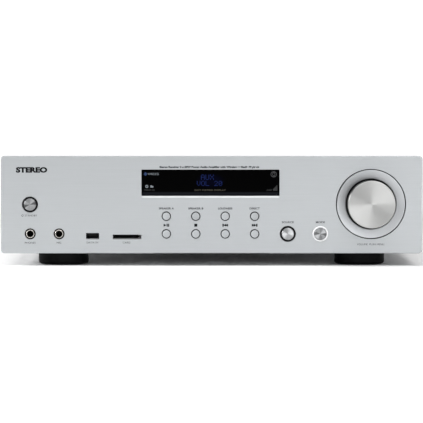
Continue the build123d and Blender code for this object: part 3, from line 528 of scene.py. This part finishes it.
class Print:
    """Flat shapes of one colour on a face at Y, in millimetres of the frame's X and Z."""

    def __init__(self, name, material, y, rear=False, thickness=0.04):
        self.name, self.material = name, material
        self.y, self.rear, self.thickness = y, rear, thickness
        self.bm = bmesh.new()

    def place(self, x, z):
        """Sends flat (u, v, w) millimetres to the face, w outwards."""
        side = -1 if self.rear else 1
        turn = Matrix(((side, 0, 0, 0), (0, 0, -side, 0), (0, 1, 0, 0), (0, 0, 0, 1)))
        metres = Matrix.Diagonal((MM, MM, MM, 1))
        return Matrix.Translation((x * MM, self.y, z * MM)) @ turn @ metres

    def words(self, text, x, z, height, width=None, weight=0.0):
        """Letters centred on x and z. A width stretches them to fit."""
        mesh = font_mesh(text, self.thickness, height / CAPITAL_HEIGHT, weight)
        left, right = extent(mesh, 0)
        foot, top = extent(mesh, 1)
        middle = Vector(((right + left) / 2, (top + foot) / 2, -self.thickness / 2))
        mesh.transform(Matrix.Translation(-middle))
        if width:
            mesh.transform(Matrix.Diagonal((width / (right - left), 1, 1, 1)))
        mesh.transform(self.place(x, z))
        self.bm.from_mesh(mesh)
        bpy.data.meshes.remove(mesh)
        return self

    def shape(self, points, x=0.0, z=0.0):
        """A filled outline, given anticlockwise as the face is looked at."""
        matrix = self.place(x, z)
        low = [self.bm.verts.new(matrix @ Vector((u, v, 0))) for u, v in points]
        high = [self.bm.verts.new(matrix @ Vector((u, v, self.thickness))) for u, v in points]
        self.bm.faces.new(high)
        self.bm.faces.new(list(reversed(low)))
        count = len(points)
        for i in range(count):
            j = (i + 1) % count
            self.bm.faces.new((low[i], low[j], high[j], high[i]))
        return self

    def bar(self, x, z, width, height):
        return self.shape(corners(width, height), x, z)

    def arc(self, x, z, r0, r1, start=0.0, end=360.0, steps=40):
        """A ring, or a part of one."""
        matrix = self.place(x, z)
        closed = end - start >= 360.0
        count = steps if closed else steps + 1
        loops = []
        for i in range(count):
            turn = math.radians(start + (end - start) * i / steps)
            along, up = math.cos(turn), math.sin(turn)
            loops.append([
                self.bm.verts.new(matrix @ Vector((r * along, r * up, w)))
                for r, w in ((r0, 0), (r1, 0), (r1, self.thickness), (r0, self.thickness))
            ])
        for i in range(steps):
            here, there = loops[i], loops[(i + 1) % count]
            for k in range(4):
                self.bm.faces.new((here[k], here[(k + 1) % 4], there[(k + 1) % 4], there[k]))
        if not closed:
            self.bm.faces.new(loops[0])
            self.bm.faces.new(list(reversed(loops[-1])))
        return self

    def finish(self):
        """Makes the sheet a piece that rides on the unit."""
        bmesh.ops.remove_doubles(self.bm, verts=self.bm.verts, dist=WELD)
        bmesh.ops.recalc_face_normals(self.bm, faces=self.bm.faces)
        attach(mesh_object(self.name, self.bm, self.material), UNIT)


def corners(width, height):
    """A rectangle about its middle, anticlockwise."""
    u, v = width / 2, height / 2
    return [(-u, -v), (u, -v), (u, v), (-u, v)]


def mesh_object(name, bm, material):
    """An object in the scene from a finished bmesh."""
    mesh = bpy.data.meshes.new(name)
    bm.to_mesh(mesh)
    bm.free()
    mesh.materials.append(material)
    made = bpy.data.objects.new(name, mesh)
    bpy.context.scene.collection.objects.link(made)
    return made


def power_icon(sheet, x, z, r):
    """A broken ring with a stroke through the break."""
    sheet.arc(x, z, r * 0.72, r, 125, 415, 24)
    sheet.bar(x, z + r * 0.75, r * 0.28, r * 0.95)


# ---------------------------------------------------------------- front lettering
COLUMNS = (-46.0, -16.0, 14.0, 44.0)  # X of the small buttons, in millimetres
UPPER_ROW = 58.5  # Z of the words over their upper row
FRONT_LABELS = (
    # words, x, z, width, weight
    ("PHONES", -184.8, 23.5, 11.0, 0.0),
    ("MIC", -155.4, 23.5, 4.8, 0.0),
    ("DATA 5V", -121.2, 23.7, 12.0, 0.0),
    ("CARD", -86.6, 23.7, 7.6, 0.0),
    ("SOURCE", 77.8, 44.5, 12.2, 0.02),
    ("MODE", 111.0, 44.5, 9.2, 0.02),
    ("SPEAKER A", COLUMNS[0], UPPER_ROW, 15.4, 0.03),
    ("SPEAKER B", COLUMNS[1], UPPER_ROW, 15.4, 0.03),
    ("LOUDNESS", COLUMNS[2], UPPER_ROW, 14.6, 0.03),
    ("DIRECT", COLUMNS[3], UPPER_ROW, 10.4, 0.03),
    ("VOLUME  PUSH MENU", 162.2, 21.9, 27.6, 0.0),
)


def front_lettering():
    label_height = 1.85
    dark = Print("front_lettering", ink_dark, FRONT)
    dark.words("STANDBY", -184.0, 51.3, label_height, 12.6)
    power_icon(dark, -192.6, 51.4, 1.15)
    for words, x, z, width, weight in FRONT_LABELS:
        dark.words(words, x, z, label_height, width, weight)
    line = "Stereo Receiver 2 x 50W Power Audio Amplifier with Wireless + Media Playback"
    dark.words(line, -2.0, 100.5, 1.7, 102.0, 0.06)
    dark.finish()
    Print("front_title", ink_black, FRONT).words("STEREO", -183.3, 97.8, 4.8, 32.0, 0.06).finish()


def transport_symbols():
    """Play and pause, stop, back and forward, over the lower row of buttons."""
    z, tall = 41.4, 3.0
    play, stop, back, forward = COLUMNS
    black = Print("front_symbols", ink_black, FRONT)
    black.shape([(-2.8, -tall / 2), (0.0, 0), (-2.8, tall / 2)], play, z)
    black.bar(play + 0.8, z, 1.1, tall).bar(play + 2.3, z, 1.1, tall)
    black.bar(stop, z, 3.1, tall)
    for x, side in ((back, -1), (forward, 1)):
        for shift in (-1.6, 0.3):
            triangle = [(-1.3 * side, -tall / 2), (1.5 * side, 0), (-1.3 * side, tall / 2)]
            black.shape(triangle if side > 0 else triangle[::-1], x + shift * side, z)
        black.bar(x + side * 2.2, z, 1.3, tall)
    black.finish()


DOT_GLYPHS = {
    "A": ("01110", "10001", "10001", "11111", "10001", "10001", "10001"),
    "U": ("10001", "10001", "10001", "10001", "10001", "10001", "01110"),
    "X": ("10001", "10001", "01010", "00100", "01010", "10001", "10001"),
    "V": ("10001", "10001", "10001", "10001", "10001", "01010", "00100"),
    "O": ("01110", "10001", "10001", "10001", "10001", "10001", "01110"),
    "L": ("10000", "10000", "10000", "10000", "10000", "10000", "11111"),
    "2": ("01110", "10001", "00001", "00010", "00100", "01000", "11111"),
    "0": ("01110", "10001", "10011", "10101", "11001", "10001", "01110"),
    " ": ("00000",) * 7,
}


def dot_line(sheet, text, x, z, pitch):
    """Characters of five by seven dots, centred on x and z."""
    advance, middle_row = 6, 3
    middle_column = (advance * len(text) - 2) / 2
    dot = pitch * 0.84
    for place, letter in enumerate(text):
        for row, bits in enumerate(DOT_GLYPHS[letter]):
            for column, bit in enumerate(bits):
                if bit == "1":
                    u = (advance * place + column - middle_column) * pitch
                    sheet.bar(x + u, z + (middle_row - row) * pitch, dot, dot)


def display_print(name, material):
    """A sheet for the display's marks, on the outer face of its window."""
    window_recess = 1.6 * MM
    return Print(name, material, FRONT + window_recess, thickness=0.02)


def display_prints():
    dots = display_print("display_dots", dot_blue)
    dot_line(dots, "AUX", -4.2, 90.3, 0.78)
    dot_line(dots, "VOL 20", -2.0, 84.0, 0.74)
    dots.finish()

    caption = display_print("display_caption", print_tan)
    caption.words("DOT MATRIX DISPLAY", -1.4, 77.1, 1.6, 31.6).finish()
    white = display_print("display_marks", print_white)
    white.words("WIRELESS", -59.4, 93.6, 2.1, 11.4)
    media_icons(white)
    white.finish()

    x, z = -67.3, 93.6
    wave = display_print("display_wave", print_blue)
    wave.bar(x, z, 0.5, 3.4)
    for start, end in ((-55, 55), (125, 235)):
        wave.arc(x, z, 1.1, 1.5, start, end, 12)
    wave.finish()

    grey = display_print("display_dim_marks", print_grey)
    grey.words("MEDIA IN", -63.4, 77.3, 1.4, 10.4)
    x, z = 63.4, 93.3
    grey.arc(x, z, 2.5, 3.1).arc(x, z, 1.1, 1.6)
    grey.bar(x, z - 2.0, 3.0, 0.5).bar(x, z + 2.0, 3.0, 0.5)
    grey.words("24 BIT", 59.0, 77.2, 1.5, 5.6)
    for i in range(4):
        grey.bar(63.2 + 1.15 * i, 77.6 + 0.55 * i, 0.7, 2.2 + 1.1 * i)
    grey.finish()


def media_icons(sheet):
    """A disc and a folder."""
    sheet.arc(-66.0, 80.9, 0.7, 1.6, steps=28)
    sheet.bar(-60.8, 80.6, 3.0, 1.7).bar(-61.6, 81.75, 1.4, 0.6)


# ---------------------------------------------------------------- rear lettering
# Places in millimetres, shared by the rear's prints.
TERMINAL_ROWS = (64.0, 42.0)
LINE_ROWS = (64.0, 46.0)
LINE_COLUMNS = (92, 110, 128, 146)
SWITCH_X, SWITCH_ON_Z, SWITCH_OFF_Z = -164.5, 86.0, 74.0


def rear_lettering():
    white = Print("rear_lettering", ink_white, REAR, rear=True)
    block_low, block_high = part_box("terminal_block")
    top = block_high[2] / MM
    white.words("SPEAKERS", (block_low[0] + block_high[0]) / 2 / MM, top + 4.5, 2.6)
    for words, z in zip("AB", TERMINAL_ROWS):
        white.words(words, -116.5, z, 3.2)
    for words, x in (("L", -87), ("R", -43)):
        white.words(words, x, top - 49.7, 2.4)
    for words, x in zip(("PHONO", "CD", "AUX", "REC OUT"), LINE_COLUMNS):
        white.words(words, x, 75.5, 2.0)
        white.bar(x, 73.2, 12.5, 0.3)
    white.words("LINE INPUTS", 110, 80.5, 2.4)
    for words, z in zip("LR", LINE_ROWS):
        white.words(words, 80.5, z, 2.6)
    white.words("ANTENNA", -8.5, 88.0, 2.3)
    white.words("POWER", -176, 92.4, 2.0).words("I", SWITCH_X, SWITCH_ON_Z, 2.4)
    white.arc(SWITCH_X, SWITCH_OFF_Z, 1.0, 1.35)
    white.words("AC IN", -176, 27.0, 2.6)
    white.finish()


def line_rings():
    """Coloured rings round the line sockets: white for left and red for right."""
    colours = (("line_rings_left", ink_white), ("line_rings_right", ink_red))
    plate_face = REAR + 1.2 * MM
    for (name, material), z in zip(colours, LINE_ROWS):
        rings = Print(name, material, plate_face, rear=True, thickness=0.5)
        for x in LINE_COLUMNS:
            rings.arc(x, z, 4.25, 5.1, steps=48)
        rings.finish()


def terminal_marks():
    """Minus and plus signs over the speaker terminals."""
    above_post, first_x, spacing = 9.2, -98, 22
    block_face = REAR + 3.0 * MM
    marks = Print("terminal_marks", ink_white, block_face, rear=True)
    for row in TERMINAL_ROWS:
        z = row + above_post
        for i, sign in enumerate("-+-+"):
            x = first_x + spacing * i
            marks.bar(x, z, 1.9, 0.4)
            if sign == "+":
                marks.bar(x, z + 0.6, 0.4, 0.7).bar(x, z - 0.6, 0.4, 0.7)
    marks.finish()


front_lettering()
transport_symbols()
display_prints()
rear_lettering()
line_rings()
terminal_marks()


# ---------------------------------------------------------------- stage
def floor():
    """A pale sheet that glows far out, so that its edge is as bright as the backdrop."""
    pale = Surface("floor_pale", (0.92, 0.92, 0.92), 0.0, 0.9, Specular_IOR_Level=0.1)
    pale.tint(pale.noise(2, 1.0), 0.004)
    glow_start, glow_full, glow = 0.7, 1.8, 0.6
    reach = pale.ramp(pale.length(pale.coords()), glow_start, glow_full)
    far = pale.node("ShaderNodeMapRange", {"Value": reach, "To Max": glow}).outputs[0]
    pale.shader.inputs["Emission Color"].default_value = (1, 1, 1, 1)
    pale.link(far, "Emission Strength")
    bm = bmesh.new()
    bmesh.ops.create_grid(bm, x_segments=1, y_segments=1, size=2.5)
    mesh_object("floor", bm, pale.material)


def aimed(name, data, place, aim):
    """An object at a place, turned to look at an aim."""
    made = bpy.data.objects.new(name, data)
    made.location = place
    made.rotation_euler = (Vector(aim) - Vector(place)).to_track_quat("-Z", "Y").to_euler()
    bpy.context.scene.collection.objects.link(made)
    return made


def softbox(name, place, aim, size, power):
    """A rectangular light, hidden from the camera."""
    data = bpy.data.lights.new(name, "AREA")
    data.shape = "RECTANGLE"
    data.size, data.size_y = size
    data.energy = power
    aimed(name, data, place, aim).visible_camera = False


class Sky(Nodes):
    """A studio's walls and ceiling, as brightness by direction."""

    def __init__(self, level):
        self.world = bpy.data.worlds.new("studio")
        self.world.use_nodes = True
        super().__init__(self.world.node_tree)
        self.axes = self.split(self.node("ShaderNodeTexCoord").outputs["Generated"])
        self.level = level

    def patch(self, amount, *edges):
        """Adds an amount where every (axis, from, to) ramp is past its end. Z is axis 2."""
        inside = self.product([self.ramp(self.axes[axis], *ends) for axis, *ends in edges])
        self.level = self.calc("ADD", self.level, self.calc("MULTIPLY", inside, amount))

    def finish(self, backdrop):
        """The camera sees an even backdrop."""
        seen = self.node("ShaderNodeLightPath").outputs["Is Camera Ray"]
        hidden = self.calc("MULTIPLY", self.level, self.calc("SUBTRACT", 1.0, seen))
        total = self.calc("ADD", hidden, self.calc("MULTIPLY", seen, backdrop))
        shade = self.tree.nodes["Background"]
        shade.inputs["Color"].default_value = (1.0, 1.0, 1.0, 1)
        self.tree.links.new(total, shade.inputs["Strength"])
        bpy.context.scene.world = self.world


def studio():
    """Pale walls: brighter right of the lens, darker left of it and low down at either side."""
    ahead, above = (1, -0.1, -0.3), (2, 0.03, 0.05)
    low = (2, 0.07, 0.04)
    sky = Sky(0.46)
    sky.patch(0.6, (0, 0.01, 0.04), ahead, above)
    sky.patch(-0.32, (0, -0.01, -0.04), ahead, above)
    sky.patch(-0.4, (0, 0.15, 0.25), low)
    sky.patch(-0.4, (0, -0.15, -0.25), low)
    sky.finish(1.1)


def camera():
    """A long lens, 3 m in front of the panel and a little above it."""
    distance, height, aim_height = 3.0, 0.17, 0.0554
    data = bpy.data.cameras.new("camera")
    data.sensor_width = 36.0
    data.lens = 250.7
    data.clip_end = 50.0
    place, aim = (0, FRONT - distance, height), (0, FRONT, aim_height)
    bpy.context.scene.camera = aimed("camera", data, place, aim)


floor()
studio()
# name, place, aim, size across and along, power in watts
softbox("overhead", (0.0, FRONT - 0.35, 1.5), (0.0, FRONT + 0.1, 0.0), (2.4, 1.2), 20.0)
softbox("key_right", (1.15, FRONT - 1.7, 0.65), (0.16, FRONT, 0.06), (1.3, 1.3), 6.5)
softbox("side_left", (-1.1, FRONT + 0.1, 0.42), (-0.2, FRONT + 0.1, 0.0), (1.0, 0.4), 12.0)
softbox("low_front", (0.0, FRONT - 0.3, 0.02), (0.0, FRONT, 0.02), (0.7, 0.03), 0.14)
camera()
scene = bpy.context.scene
scene.view_settings.view_transform = "Standard"
scene.view_settings.look = "None"
scene.view_settings.exposure = 0.0
scene.view_settings.gamma = 1.0
